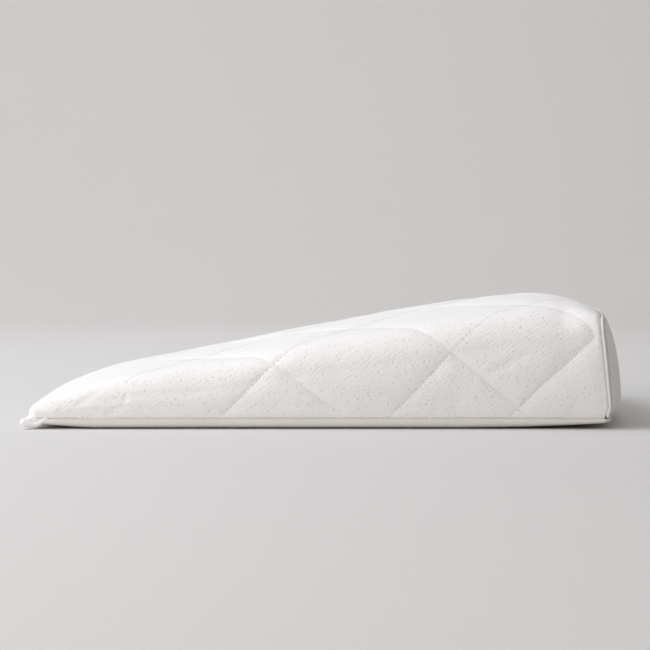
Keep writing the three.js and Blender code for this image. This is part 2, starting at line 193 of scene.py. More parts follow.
# Unevenness of the plain panels and the welt: heights, and lengths of one swell
BASE_UNEVENNESS = 0.3
BASE_WAVE = 24
BASE_SEED = 41
END_PUCKER = 9
END_PUCKER_HEIGHT = 0.8
END_PUCKER_FALL = 7
END_PUCKER_START = 12
END_PUCKER_SEED = 51
END_UNEVENNESS = 1.2
END_WAVE_SEED = 52
WELT_UNEVENNESS = 0.07
WELT_WAVE = 9
WELT_SEED = 61
# The welt stands out at the two sides only: the share of its radius over the top and below, how far from mid
# width it starts to grow, and over which width.
WELT_LEAST = 0.5
WELT_FULL_FROM = 184
WELT_GROWTH = 12

# The solids' thick end, farthest point of the welt, fixes where the thin end's seam lies in the frame.
WELT_REACH = 611.98
ORIGIN = np.array([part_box("end_welt")[1].x / MM - WELT_REACH, 0, 0])


def linear(code):
    """An sRGB hex colour as linear red, green, blue and opacity."""
    shares = [int(code[k : k + 2], 16) / 255 for k in (0, 2, 4)]
    return [s / 12.92 if s <= 0.04045 else ((s + 0.055) / 1.055) ** 2.4 for s in shares] + [1.0]


def length_property(name, description, millimetres):
    return FloatProperty(name=name, description=description, default=millimetres * MM, min=0, unit="LENGTH")


def colour_property(name, description, code):
    return FloatVectorProperty(
        name=name, description=description, default=linear(code), size=4, min=0, max=1, subtype="COLOR"
    )


class PillowSizes(PropertyGroup):
    """Sizes of the sewing and padding."""

    channel_depth: length_property("Channel depth", "How far the quilting lines draw the cloth in", 1.9)
    channel_reach: length_property("Channel reach", "Distance in which a channel loses most of its depth", 6)
    pucker_height: length_property("Pucker height", "Height of the ripples along the quilting lines", 0.4)
    unevenness: length_property("Unevenness", "Height of the cloth's broad waves over the filling", 0.8)
    puff_limit: length_property("Puff limit", "Farthest that the padding may push the cloth out", 1.6)
    stitch: length_property("Stitch", "Length of one stitch that shows", 3.2)
    stitch_gap: length_property("Stitch gap", "Distance between two stitches", 1.2)
    thread: length_property("Thread", "Thickness of the sewing thread", 0.6)
    welt_radius: length_property("Welt radius", "Radius of the welt at the two sides", 1.8)


class PillowColours(PropertyGroup):
    """Colours of the cloths, the thread and the studio."""

    knit: colour_property("Knit", "Face of the quilted knit", "F9F8F8")
    # painted shade: the colour that the knit is given where it lies low, for the shade in its pits and between
    # its ribs
    knit_hollow_shade: colour_property("Knit pits", "Hollows between the knit's ribs", "F3F2F1")
    # painted shade: the base panel's tricot is given a darker, warmer colour than the end panel's, for the
    # shade on its strip by the floor
    base: colour_property("Base panel", "Face of the base panel", "E6E2DB")
    plain: colour_property("End panel", "Face of the end panel", "EFEDEA")
    # painted shade: the colour that the plain knits are given where they lie low, and the thread in the grooves
    # of its plies
    plain_hollow_shade: colour_property("Plain knit hollows", "Between the plain knit's wales", "DAD7D2")
    welt: colour_property("Welt", "Face of the welt", "E4E2DD")
    thread: colour_property("Thread", "Sewing thread", "EFEDE8")
    floor: colour_property("Floor", "Painted studio sweep", "DCDBDA")


def smooth(value):
    t = np.clip(value, 0, 1)
    return t * t * (3 - 2 * t)


def through(points, steps):
    """A rounded line through a few points, with as many steps between each two."""
    rows = np.array(points, float)
    rows = np.vstack([2 * rows[0] - rows[1], rows, 2 * rows[-1] - rows[-2]])
    share = np.arange(steps)[:, None] / steps
    parts = []
    for a, b, c, d in zip(rows, rows[1:], rows[2:], rows[3:]):
        before, here, after = (math.sqrt(np.linalg.norm(q - p)) for p, q in ((a, b), (b, c), (c, d)))
        leave = here * ((b - a) / before - (c - a) / (before + here) + (c - b) / here)
        arrive = here * ((c - b) / here - (d - b) / (here + after) + (d - c) / after)
        square = -3 * b + 3 * c - 2 * leave - arrive
        cube = 2 * b - 2 * c + leave + arrive
        parts.append(b + leave * share + square * share**2 + cube * share**3)
    return np.vstack([*parts, rows[-2:-1]])


def run_lengths(points):
    steps = np.linalg.norm(np.diff(points, axis=0), axis=1)
    return np.concatenate([[0], np.cumsum(steps)])


CROWN = through(CROWN_LINE, 80)
CROWN_LENGTHS = run_lengths(CROWN)
CLOTH_LENGTH = CROWN_LENGTHS[-1]
LAST_FLAT = CLOTH_LENGTH - WELT_RECESS[0][0]


def section_value(key, along):
    """One column of the cross-sections at a place along the pillow, eased between rows."""
    rows = np.array(SECTIONS, float)
    places = rows[:, 0]
    values = rows[:, SECTION_KEYS.index(key)]
    if along <= places[0]:
        return values[0]
    if along >= places[-1]:
        return values[-1]
    k = np.searchsorted(places, along, side="right") - 1
    share = smooth((along - places[k]) / (places[k + 1] - places[k]))
    return values[k] + (values[k + 1] - values[k]) * share


ARC_STEPS = 16
WALL_STEPS = 30
TOP_STEPS = 90
MOST_ROUND = 0.6  # share of a low wall that its shoulder may take
MOST_TUCK = 0.35


def section(cloth_along, bottom=SEAM_HEIGHT + GAP / 2, corner=SEAM_ROUNDING, turn=SEAM_TURN):
    """The half outline of a cross-section from the near seam up to mid width."""
    along = np.interp(cloth_along, CROWN_LENGTHS, CROWN[:, 0])
    crown = np.interp(cloth_along, CROWN_LENGTHS, CROWN[:, 1])
    drop = section_value("drop", along)
    half = section_value("half", along)
    tall = max(0, crown - drop - bottom)
    rounding = min(section_value("shoulder", along), tall * MOST_ROUND)
    tuck = min(corner, tall * MOST_TUCK / math.sin(turn))
    edge = bottom + tall

    def arc(across, height, radius, start, end):
        angles = np.linspace(start, end, ARC_STEPS + 1)
        return np.column_stack([across + radius * np.cos(angles), height + radius * np.sin(angles)])

    foot = arc(tuck - half, bottom + tuck * math.sin(turn), tuck, math.pi + turn, math.pi)
    share = np.arange(1, WALL_STEPS) / WALL_STEPS
    swell = SIDE_BULGE * np.sin(math.pi * share) * min(1, tall / SIDE_BULGE_FULL)
    wall = np.column_stack([-half - swell, foot[-1, 1] + (edge - rounding - foot[-1, 1]) * share])
    shoulder = arc(rounding - half, edge - rounding, rounding, math.pi, 0.5 * math.pi)
    flat = half - rounding
    across = -flat * (1 - np.arange(1, TOP_STEPS + 1) / TOP_STEPS)
    fall = min(drop, crown - bottom) * (np.abs(across) / flat) ** CROWN_POWER
    top = np.column_stack([across, crown - fall])
    outline = np.vstack([foot, wall, shoulder, top])
    lengths = run_lengths(outline)
    mark = lengths[len(foot) + len(wall) + ARC_STEPS // 2]
    return SimpleNamespace(
        cloth_along=cloth_along,
        along=along,
        half=half,
        bottom=bottom,
        outline=outline,
        lengths=lengths,
        mark=mark,
    )


NORMAL_REACH = 0.5  # to each side, over which a section's direction is taken
LEAST_DEPTH = 0.001


def across_and_height(cut, lengths):
    return np.column_stack([np.interp(lengths, cut.lengths, cut.outline[:, k]) for k in (0, 1)])


def on_section(cut, lengths, back=0, inset=0):
    """Points of the pillow's near side at lengths up a cross-section's half outline."""
    points = across_and_height(cut, lengths)
    after = across_and_height(cut, lengths + NORMAL_REACH)
    before = across_and_height(cut, lengths - NORMAL_REACH)
    ahead = unit(after - before)
    shoulder_height = across_and_height(cut, np.array([cut.mark]))[0, 1]
    wall_depth = max(shoulder_height - cut.bottom, LEAST_DEPTH)
    share = np.minimum(1, (points[:, 0] / cut.half) ** 2)
    end = END_BOW * smooth(1 - (CLOTH_LENGTH - cut.cloth_along) / BOW_STARTS)
    nose = NOSE_BOW * (1 - smooth(cut.cloth_along / NOSE_BOW_ENDS))
    level = cut.along + (nose - end) * share - back
    depth = np.where(lengths < cut.mark, shoulder_height - points[:, 1], 0)
    least = NOSE_CORNER + NOSE_SEAM_SLIDE * cut.cloth_along - level
    slide = np.maximum(SIDE_LEAN * wall_depth, least)
    by_end = smooth(1 - (CLOTH_LENGTH - cut.cloth_along) / END_TUCK_STARTS)
    foot = END_TUCK * by_end * smooth((END_SEAM_BOTTOM + END_TUCK_HEIGHT - points[:, 1]) / END_TUCK_HEIGHT)
    place = level + slide * depth / wall_depth - foot
    points = points + inset * np.column_stack([ahead[:, 1], -ahead[:, 0]])
    return np.column_stack([place, points])


def lattice(step, recessed=True):
    """The cover's cloth as a lattice: its points, and each point's place along and across the cloth.

    Rows run from the near base seam over the top to the far one. Rows that would lie below a seam lie on it.
    The last columns turn in under the welt, unless they are left out.
    """
    side_rows = math.ceil(SIDE_SPAN / step)
    top_rows = 2 * round(TOP_SPAN / 2 / step)
    down = np.arange(side_rows, 0, -1) * step
    top = np.arange(top_rows + 1)
    from_middle = np.abs(top - top_rows / 2) / (top_rows / 2)
    far_half = top > top_rows / 2
    flat = [*np.arange(0, LAST_FLAT - step / 2, step), LAST_FLAT]
    cuts = [(section(place), 0, 0) for place in flat]
    if recessed:
        cuts += [(section(CLOTH_LENGTH, *END_SEAM), back, inset) for back, inset in WELT_RECESS[1:]]
    columns, across = [], []
    for cut, back, inset in cuts:
        lengths = cut.mark - down
        lengths[lengths < step * LEAST_ROW] = 0
        side = on_section(cut, lengths, back, inset)
        crown_length = cut.lengths[-1] - cut.mark
        over = on_section(cut, cut.mark + crown_length * (1 - from_middle), back, inset)
        over[far_half, 1] *= -1
        columns.append(np.vstack([side, over, side[::-1] * MIRROR]))
        drop = cut.mark - lengths
        across.append(np.concatenate([-drop, top * TOP_SPAN / top_rows, TOP_SPAN + drop[::-1]]))
    across = np.array(across)
    along = np.array([cut.cloth_along - back for cut, back, _ in cuts])
    on_near = across - across[:, :1] < TOUCHING
    on_far = across[:, -1:] - across < TOUCHING
    return SimpleNamespace(
        points=np.array(columns),
        along=np.repeat(along[:, None], across.shape[1], axis=1),
        across=across,
        at_seam=on_near | on_far,
        flat_columns=len(flat),
        step=step,
    )


def unit(vectors):
    """Vectors brought to a length of one; those without length stay as they are."""
    return vectors / np.maximum(np.linalg.norm(vectors, axis=-1, keepdims=True), TOUCHING)


def outward_normals(points):
    return unit(np.cross(np.gradient(points, axis=0), np.gradient(points, axis=1)))


NOISE_CELLS = 128
NOISE_ROW = 0.5  # where in the unevenness the waves along a single line are read


def waves(x, y, seed):
    """Smooth seeded unevenness between -1 and 1, with one swell to each unit of x and y."""
    table = np.random.default_rng(seed).uniform(-1, 1, (NOISE_CELLS, NOISE_CELLS))
    i, j = np.floor(x).astype(int), np.floor(y).astype(int)
    fx, fy = smooth(x - i), smooth(y - j)
    left, right = i % NOISE_CELLS, (i + 1) % NOISE_CELLS
    near, far = j % NOISE_CELLS, (j + 1) % NOISE_CELLS
    low = table[left, near] * (1 - fx) + table[right, near] * fx
    high = table[left, far] * (1 - fx) + table[right, far] * fx
    return low * (1 - fy) + high * fy


NOSE_TIGHT = 120  # over the nose the cloth is drawn tight, and the channels vanish there
NOSE_LOOSE = 210
LINE_WANDER = 1.6
WANDER_LENGTH = 90
PUCKER_LENGTH = 8.5  # between neighbouring ripples, along a quilting line
PUCKER_REACH = 16
PUCKER_RUN = 34
PUCKER_START = 4  # the ripples start this far from the line
PUCKER_SHIFT = 7  # between the ripples of two neighbouring lines
PUCKER_ROW = 50
PUCKER_SEEDS = (21, 22)
ROUNDING = 0.4  # of the channels' floor
# The tight top flattens the rising lines: the share of their depth that is left there, how far in from the
# long edge each line starts to lose it, and over which width.
TOP_SHARE = 0.08
RISING_FADES = [-20, -20, -20, -6, -40, -10]
EDGE_FADE = 22
WAVE_LENGTH = 75
WAVE_ROW = 20
WAVE_SEED = 31
# Creases on the near side: their two ends as places along and across the cloth, depth and half width.
CREASES = [
    ((63, -15), (97, -4), 1.0, 2.4),
    ((95, -30), (118, -24), 1.2, 2.4),
    ((118, -24), (121, -12), 1.2, 2.4),
    ((489, -58), (563, -35), 0.9, 4.5),
]
CREASE_ENDS = 0.06  # share of a crease's length, at each end, over which it keeps the same small depth


def past_edge(across, rising):
    """How far a place lies down the side on which a family of quilting lines runs flatter."""
    return np.minimum(across, 0) if rising > 0 else np.maximum(across - TOP_SPAN, 0)


def line_wander(along, across, rising, seed):
    run = (rising * along + across) / math.sqrt(2)
    return run, LINE_WANDER * waves(run / WANDER_LENGTH, np.full_like(run, NOISE_ROW), seed)


def line_distance(cloth, rising, lines, seed):
    """Distance in the cloth to the nearest line of a family, the place along it and the line's number."""
    run, wander = line_wander(cloth.along, cloth.across, rising, seed)
    side = past_edge(cloth.across, rising)
    place = cloth.along - rising * (cloth.across + SIDE_FLATTENING * side) + wander
    gaps = place[..., None] - np.array(lines, float)
    nearest = np.abs(gaps).argmin(-1)
    gap = np.take_along_axis(gaps, nearest[..., None], -1)[..., 0]
    return gap / np.where(side == 0, math.sqrt(2), math.hypot(1, 1 + SIDE_FLATTENING)), run, nearest


# Which way the two families of quilting lines run, their lines and the seed of their wander.
LINE_FAMILIES = [(1, RISING_LINES, 11), (-1, FALLING_LINES, 12)]


def families(cloth):
    return [line_distance(cloth, *family) for family in LINE_FAMILIES]


def rising_share(across, nearest):
    """The share of its depth that a rising line's channel has at a place across the cloth."""
    in_from_edge = np.minimum(across, TOP_SPAN - across)
    return 1 - (1 - TOP_SHARE) * smooth((in_from_edge - np.array(RISING_FADES)[nearest]) / EDGE_FADE)


def quilting_relief(cloth, sizes):
    """How far the sewing and the ripples that it gathers move the cloth outwards, in millimetres."""
    reach = sizes.channel_reach / MM
    channel = np.zeros(cloth.along.shape)
    ripples = np.zeros(cloth.along.shape)
    for k, (gap, run, nearest) in enumerate(families(cloth)):
        away = np.abs(gap)
        rounded = np.sqrt(away**2 + ROUNDING**2) - ROUNDING
        share = rising_share(cloth.across, nearest) if LINE_FAMILIES[k][0] > 0 else 1
        channel = np.maximum(channel, share * np.exp(-rounded / reach))
        near = np.exp(-((away / PUCKER_REACH) ** 2)) * (1 - np.exp(-((away / PUCKER_START) ** 2)))
        across_line = gap / PUCKER_RUN + PUCKER_ROW
        ripples += near * waves(run / PUCKER_LENGTH + PUCKER_SHIFT * nearest, across_line, PUCKER_SEEDS[k])
    broad = waves(cloth.along / WAVE_LENGTH, cloth.across / WAVE_LENGTH + WAVE_ROW, WAVE_SEED)
    relief = sizes.pucker_height / MM * ripples + sizes.unevenness / MM * broad
    channel *= tightness(cloth.along)
    return relief * (1 - channel) - sizes.channel_depth / MM * channel - creases(cloth)


def tightness(along):
    """The share of their depth that the channels have at a place along the cloth."""
    return smooth((along - NOSE_TIGHT) / (NOSE_LOOSE - NOSE_TIGHT))


def quilting_map(cloth):
    """Distances to the nearest line of each family, whose sign turns from one line to the next."""
    return np.stack([gap * (1 - 2 * (nearest % 2)) for gap, _, nearest in families(cloth)], axis=-1)


def creases(cloth):
    """Depth of the loose creases on the near side, each a soft trough along a line in the cloth."""
    depth = np.zeros(cloth.along.shape)
    here = np.stack([cloth.along, cloth.across], axis=-1)
    for start, end, most, width in CREASES:
        start, end = np.array(start, float), np.array(end, float)
        way = end - start
        share = np.clip(((here - start) @ way) / (way @ way), 0, 1)
        away = np.linalg.norm(here - start - share[..., None] * way, axis=-1)
        rise = np.sin(math.pi * np.clip(share, CREASE_ENDS, 1 - CREASE_ENDS))
        depth += most * np.exp(-((away / width) ** 2)) * rise
    return depth


SEAM_FADE = 9  # distance over which the relief dies out towards a seam


def seam_distance(cloth):
    near = cloth.across - cloth.across[:, :1]
    far = cloth.across[:, -1:] - cloth.across
    return np.minimum(near, far)


def relief_share(cloth):
    by_seam = smooth(seam_distance(cloth) / SEAM_FADE)
    by_end = smooth((LAST_FLAT - cloth.along) / SEAM_FADE)
    by_nose = smooth(cloth.along / SEAM_FADE)
    return by_seam * by_end * by_nose


class Surface:
    """The finished cover's lattice, which gives a point and normal for any place in the cloth."""

    def __init__(self, cloth):
        self.cloth = cloth
        self.normals = outward_normals(cloth.points)

    def mixed(self, grid, column, row, column_share, row_share):
        low = grid[column, row] * (1 - column_share) + grid[column + 1, row] * column_share
        high = grid[column, row + 1] * (1 - column_share) + grid[column + 1, row + 1] * column_share
        return low * (1 - row_share) + high * row_share

    def at(self, along, across):
        """The point and normal at a place in the cloth, or nothing where the cloth ends."""
        cloth = self.cloth
        column = int(along // cloth.step)
        if not 0 <= column < cloth.flat_columns - 2:
            return None
        rows = cloth.across[column]
        if not rows[0] < across < rows[-1]:
            return None
        row = int(np.searchsorted(rows, across, side="right")) - 1
        row_share = (across - rows[row]) / (rows[row + 1] - rows[row])
        place = (column, row, along / cloth.step - column, row_share)
        return self.mixed(cloth.points, *place), unit(self.mixed(self.normals, *place))


surfaces = {}  # the finished cover, kept for what is sewn along it


def unique_indices(cloth):
    """Numbers the lattice's points, one for all rows that lie together on a seam, and picks those points."""
    columns, rows = cloth.at_seam.shape
    half = rows // 2
    numbers = np.zeros((columns, rows), int)
    picked = []
    count = 0
    for i in range(columns):
        first = np.flatnonzero(cloth.at_seam[i, :half])[-1]
        last = half + np.flatnonzero(cloth.at_seam[i, half:])[0]
        numbers[i] = count + np.clip(np.arange(rows), first, last) - first
        picked.append(np.column_stack([np.full(last - first + 1, i), np.arange(first, last + 1)]))
        count += last - first + 1
    return numbers, np.vstack(picked)


def without_repeats(numbers):
    return list(dict.fromkeys(int(k) for k in numbers))


def grid_faces(numbers):
    """Faces between neighbouring columns of numbered points, with corners that run together left out."""
    faces = []
    for left, right in zip(numbers, numbers[1:]):
        for a, b, c, d in zip(left, right, right[1:], left[1:]):
            face = without_repeats((a, b, c, d))
            if len(face) > 2:
                faces.append(face)
    return faces


def new_object(name, points, faces, places=None, distances=None):
    """A mesh object in the row's frame from points in millimetres, with places in the cloth as its map.

    The distances to the quilting lines, where they are given, become a second map.
    """
    mesh = bpy.data.meshes.new(name)
    placed = (np.asarray(points, float) + ORIGIN) * MM
    mesh.from_pydata(placed.tolist(), [], [[int(k) for k in face] for face in faces])
    obj = bpy.data.objects.new(name, mesh)
    bpy.context.scene.collection.objects.link(obj)
    work = bmesh.new()
    work.from_mesh(mesh)
    bmesh.ops.recalc_face_normals(work, faces=work.faces)
    cloth_map = work.loops.layers.uv.new(CLOTH_MAP)
    for face in work.faces:
        face.smooth = True
        flat_axis = max(range(3), key=lambda axis: abs(face.normal[axis]))
        for loop in face.loops:
            if places is not None and loop.vert.index < len(places):
                loop[cloth_map].uv = places[loop.vert.index] * MM
            else:
                loop[cloth_map].uv = [c for axis, c in enumerate(loop.vert.co) if axis != flat_axis]
    if distances is not None:
        line_map = work.loops.layers.uv.new(LINE_MAP)
        for face in work.faces:
            for loop in face.loops:
                known = loop.vert.index < len(distances)
                loop[line_map].uv = distances[loop.vert.index] * MM if known else (FAR_OFF, FAR_OFF)
    work.to_mesh(mesh)
    work.free()
    return obj


def filled(loop, points, first, second):
    """Triangles that close a loop of point numbers, laid out in two of the axes."""
    flat = [Vector((points[k][first], points[k][second], 0)) for k in loop]
    return [[loop[k] for k in triangle] for triangle in tessellate_polygon([flat])]


def lower_run(near, far, steps):
    """Points along the thick end's lower run, ends left out."""
    share = np.arange(1, steps)[:, None] / steps
    run = near + (far - near) * share
    run[:, 0] += END_BOW * ((near[1] / HALF_WIDTH) ** 2 - (run[:, 1] / HALF_WIDTH) ** 2)
    return run


PADDED_CLOTH = {
    "quality": 5,
    "mass": 0.2,
    "tension_stiffness": 8,
    "compression_stiffness": 8,
    "shear_stiffness": 4,
    "bending_stiffness": 6,
    "use_pressure": True,
    "uniform_pressure_force": PUFF_PRESSURE,
    "shrink_min": -CLOTH_EASE,
}


def pressed_out(trial):
    """The points, in millimetres, that a trial cloth reaches in the simulation's frames."""
    scene = bpy.context.scene
    for frame_number in range(1, PUFF_FRAMES + 1):
        scene.frame_set(frame_number)
    shown = trial.evaluated_get(bpy.context.evaluated_depsgraph_get()).data
    ended = np.zeros(len(shown.vertices) * 3, np.float32)
    shown.vertices.foreach_get("co", ended)
    discard(trial)
    scene.frame_set(1)
    return ended.reshape(-1, 3) / MM - ORIGIN


def evened_out(grid):
    """A lattice's moves, each brought towards those of its neighbours."""
    for _ in range(PUFF_EVENINGS):
        wide = np.pad(grid, ((1, 1), (1, 1), (0, 0)), "edge")
        beside = wide[:-2, 1:-1] + wide[2:, 1:-1] + wide[1:-1, :-2] + wide[1:-1, 2:]
        grid = (2 * grid + beside) / 6
    return grid


def let_out_padding(sizes):
    """Moves of a coarse lattice whose padding is let out between the quilting lines by cloth simulation."""
    cloth = lattice(PUFF_STEP, recessed=False)
    numbers, picked = unique_indices(cloth)
    columns, rows = picked[:, 0], picked[:, 1]
    points = cloth.points[columns, rows]
    trial = new_object("padding_trial", points, grid_faces(numbers))
    to_line = np.abs(quilting_map(cloth)).min(axis=-1)
    by_edge = (cloth.along > LAST_FLAT - PUFF_STEP) | (cloth.along < PUFF_STEP)
    held = (to_line < PUFF_HELD) | cloth.at_seam | by_edge
    group = trial.vertex_groups.new(name="held")
    group.add(np.flatnonzero(held[columns, rows]).tolist(), 1.0, "REPLACE")
    settings = trial.modifiers.new("padding", "CLOTH").settings
    for name, value in PADDED_CLOTH.items():
        setattr(settings, name, value)
    settings.effector_weights.gravity = 0
    settings.vertex_group_mass = group.name
    moves = pressed_out(trial) - points
    limit = sizes.puff_limit / MM
    size = np.linalg.norm(moves, axis=1, keepdims=True)
    grid = np.zeros(cloth.points.shape)
    grid[columns, rows] = moves * limit * np.tanh(size / limit) / np.maximum(size, TOUCHING)
    return evened_out(grid)


def discard(obj):
    mesh = obj.data
    bpy.data.objects.remove(obj)
    bpy.data.meshes.remove(mesh)


def spread(grid, cloth):
    """The coarse lattice's moves at the places of a fine one, on rounded curves between its points."""
    side_rows = math.ceil(SIDE_SPAN / PUFF_STEP)
    top_rows = 2 * round(TOP_SPAN / 2 / PUFF_STEP)
    beside = (np.minimum(cloth.across, 0) + np.maximum(cloth.across - TOP_SPAN, 0)) / PUFF_STEP
    row = side_rows + beside + np.clip(cloth.across, 0, TOP_SPAN) * top_rows / TOP_SPAN
    column = np.minimum(cloth.along / PUFF_STEP, len(grid) - 1)
    first_row, first_column = np.floor(row).astype(int), np.floor(column).astype(int)

    def weights(f):
        """How much the four points round a place count, for a curve that goes through each of them."""
        return (
            -0.5 * f + f**2 - 0.5 * f**3,
            1 - 2.5 * f**2 + 1.5 * f**3,
            0.5 * f + 2 * f**2 - 1.5 * f**3,
            -0.5 * f**2 + 0.5 * f**3,
        )

    moved = np.zeros(cloth.points.shape)
    for i, along in enumerate(weights(column - first_column)):
        for j, across in enumerate(weights(row - first_row)):
            from_column = np.clip(first_column + i - 1, 0, grid.shape[0] - 1)
            from_row = np.clip(first_row + j - 1, 0, grid.shape[1] - 1)
            moved += (along * across)[..., None] * grid[from_column, from_row]
    return moved


def finished_cover(sizes):
    """The cover's lattice with its padding let out and its quilting sewn in."""
    cloth = lattice(CLOTH_STEP)
    share = relief_share(cloth)
    cloth.points = cloth.points + spread(let_out_padding(sizes), cloth) * share[..., None]
    relief = quilting_relief(cloth, sizes) * share
    cloth.points = cloth.points + outward_normals(cloth.points) * relief[..., None]
    return cloth


def ear(side):
    """Points and faces of one pinched seam corner, a closed form of lobes that run into each other."""
    work = bmesh.new()
    for place, half_sizes, turn, tilt in EAR_LOBES:
        for vertex in bmesh.ops.create_icosphere(work, subdivisions=EAR_LOBE_FINENESS, radius=1)["verts"]:
            x, y, z = (c * half for c, half in zip(vertex.co, half_sizes))
            x, z = x * math.cos(tilt) - z * math.sin(tilt), x * math.sin(tilt) + z * math.cos(tilt)
            x, y = x * math.cos(turn) - y * math.sin(turn), x * math.sin(turn) + y * math.cos(turn)
            vertex.co = Vector((x, y, z)) + Vector(place)
    for along, height, radius in through(EAR_LIP, EAR_LIP_STEPS):
        bead = bmesh.ops.create_icosphere(work, subdivisions=EAR_LIP_FINENESS, radius=radius)["verts"]
        bmesh.ops.translate(work, verts=bead, vec=(along, EAR_LIP_ACROSS, height))
    mesh = bpy.data.meshes.new("ear_trial")
    work.to_mesh(mesh)
    work.free()
    trial = bpy.data.objects.new("ear_trial", mesh)
    bpy.context.scene.collection.objects.link(trial)
    skin = trial.modifiers.new("one_skin", "REMESH")
    skin.mode = "VOXEL"
    skin.voxel_size = EAR_VOXEL
    trial.modifiers.new("soften", "SMOOTH").iterations = EAR_SOFTENING
    shown = trial.evaluated_get(bpy.context.evaluated_depsgraph_get()).data
    points = np.array([vertex.co for vertex in shown.vertices]) * (1, side, 1)
    faces = [list(polygon.vertices) for polygon in shown.polygons]
    discard(trial)
    return points, faces


def bottom_outline(cloth):
    """The line of the base seam as columns' points: near side, thick end, far side and nose."""
    flat = cloth.points[: cloth.flat_columns]
    near, far = flat[:, 0], flat[:, -1]
    nose = cloth.points[0][~cloth.at_seam[0]]
    return np.vstack([near, lower_run(near[-1], far[-1], ACROSS_STEPS), far[::-1], nose[::-1]])


def build_cover(sizes):
    """The quilted cover over its filling, closed below and at the thick end, with its two pinched corners."""
    cloth = finished_cover(sizes)
    surfaces["cover"] = Surface(cloth)
    numbers, picked = unique_indices(cloth)
    columns, rows = picked[:, 0], picked[:, 1]
    distances = quilting_map(cloth)[columns, rows]
    points = list(cloth.points[columns, rows])
    places = list(np.column_stack([cloth.along[columns, rows], cloth.across[columns, rows]]))
    faces = grid_faces(numbers)
    runs = []
    for column in numbers[cloth.flat_columns - 1 :]:
        run = lower_run(points[column[0]], points[column[-1]], ACROSS_STEPS)
        between = range(len(points), len(points) + len(run))
        points.extend(run)
        places.extend(run[:, :2])
        runs.append([column[0], *between, column[-1]])
    faces += grid_faces(runs)
    flat = numbers[: cloth.flat_columns]
    nose = without_repeats(flat[0])[1:-1]
    faces += filled([*flat[:, 0], *runs[0][1:-1], *flat[::-1, -1], *nose[::-1]], points, 0, 1)
    faces += filled([*without_repeats(numbers[-1]), *runs[-1][-2:0:-1]], points, 1, 2)
    for side in (1, -1):
        ear_points, ear_faces = ear(side)
        faces += [[len(points) + k for k in face] for face in ear_faces]
        points.extend(ear_points)
    return new_object("cover_cloth", points, faces, places, distances)


def build_base():
    """The plain panel under the pillow, turned up to the base seam all round."""
    outline = bottom_outline(lattice(CLOTH_STEP, recessed=False))
    turn_up = through(BASE_RIM, BASE_RIM_STEPS)
    levels = []
    for k, (out, height) in enumerate(turn_up):
        by_end = smooth((outline[:, 0] - HALF_LENGTH) / HALF_LENGTH)
        by_corner = smooth((np.abs(outline[:, 1]) - HALF_WIDTH + BASE_CORNER) / BASE_CORNER)
        reach = by_end * (BASE_REACH - by_corner * (BASE_REACH + BASE_CORNER_SHORT))
        x = HALF_LENGTH + (outline[:, 0] - HALF_LENGTH) * (1 + out / HALF_LENGTH) + reach
        y = outline[:, 1] * (1 + out / HALF_WIDTH)
        thin_end = BASE_LIFT * (1 - smooth(x / FLAT_FROM))
        thick_end = END_LIFT * np.clip((x - FLAT_TO) / END_LIFT_RUN, 0, 1) ** 2
        lift = (thin_end + thick_end) * (1 - height / RIM_TOP)
        bulge = math.sin(math.pi * k / (len(turn_up) - 1))
        uneven = waves(x / BASE_WAVE, np.sign(y) + NOISE_ROW, BASE_SEED)
        y = y + np.sign(y) * BASE_UNEVENNESS * bulge * uneven
        levels.append(np.column_stack([x, y, np.maximum(height, 0) + lift]))
    count = len(outline)
    numbers = np.arange(count * len(levels)).reshape(len(levels), count)
    looped = np.hstack([numbers, numbers[:, :1]])
    points = np.vstack(levels)
    faces = grid_faces(looped)
    faces += filled(numbers[0].tolist(), points, 0, 1)
    faces += filled(numbers[-1].tolist(), points, 0, 1)
    return new_object("base_cloth", points, faces)


def end_edges(back, inset):
    """The end seam's line, or one drawn in from it, as its near side, top and lower run."""
    cut = section(CLOTH_LENGTH, *END_SEAM)
    side = on_section(cut, np.linspace(0, cut.mark, END_SIDE_STEPS + 1), back, inset)
    from_middle = np.abs(np.linspace(-1, 1, END_TOP_STEPS + 1))
    top = on_section(cut, cut.mark + (cut.lengths[-1] - cut.mark) * (1 - from_middle), back, inset)
    top[END_TOP_STEPS // 2 + 1 :, 1] *= -1
    far = side * MIRROR
    lower = np.vstack([side[:1], lower_run(side[0], far[0], END_TOP_STEPS), far[:1]])
    return side, top, lower


def end_patch(back, inset):
    """A grid of points over the thick end, spread between the four edges of a line round it."""
    side, top, lower = end_edges(back, inset)
    far = side * MIRROR
    s = np.linspace(0, 1, END_TOP_STEPS + 1)[:, None, None]
    t = np.linspace(0, 1, END_SIDE_STEPS + 1)[None, :, None]
    between_sides = (1 - s) * side[None] + s * far[None]
    between_runs = (1 - t) * lower[:, None] + t * top[:, None]
    low = (1 - s) * lower[0] + s * lower[-1]
    high = (1 - s) * top[0] + s * top[-1]
    return between_sides + between_runs - (1 - t) * low - t * high


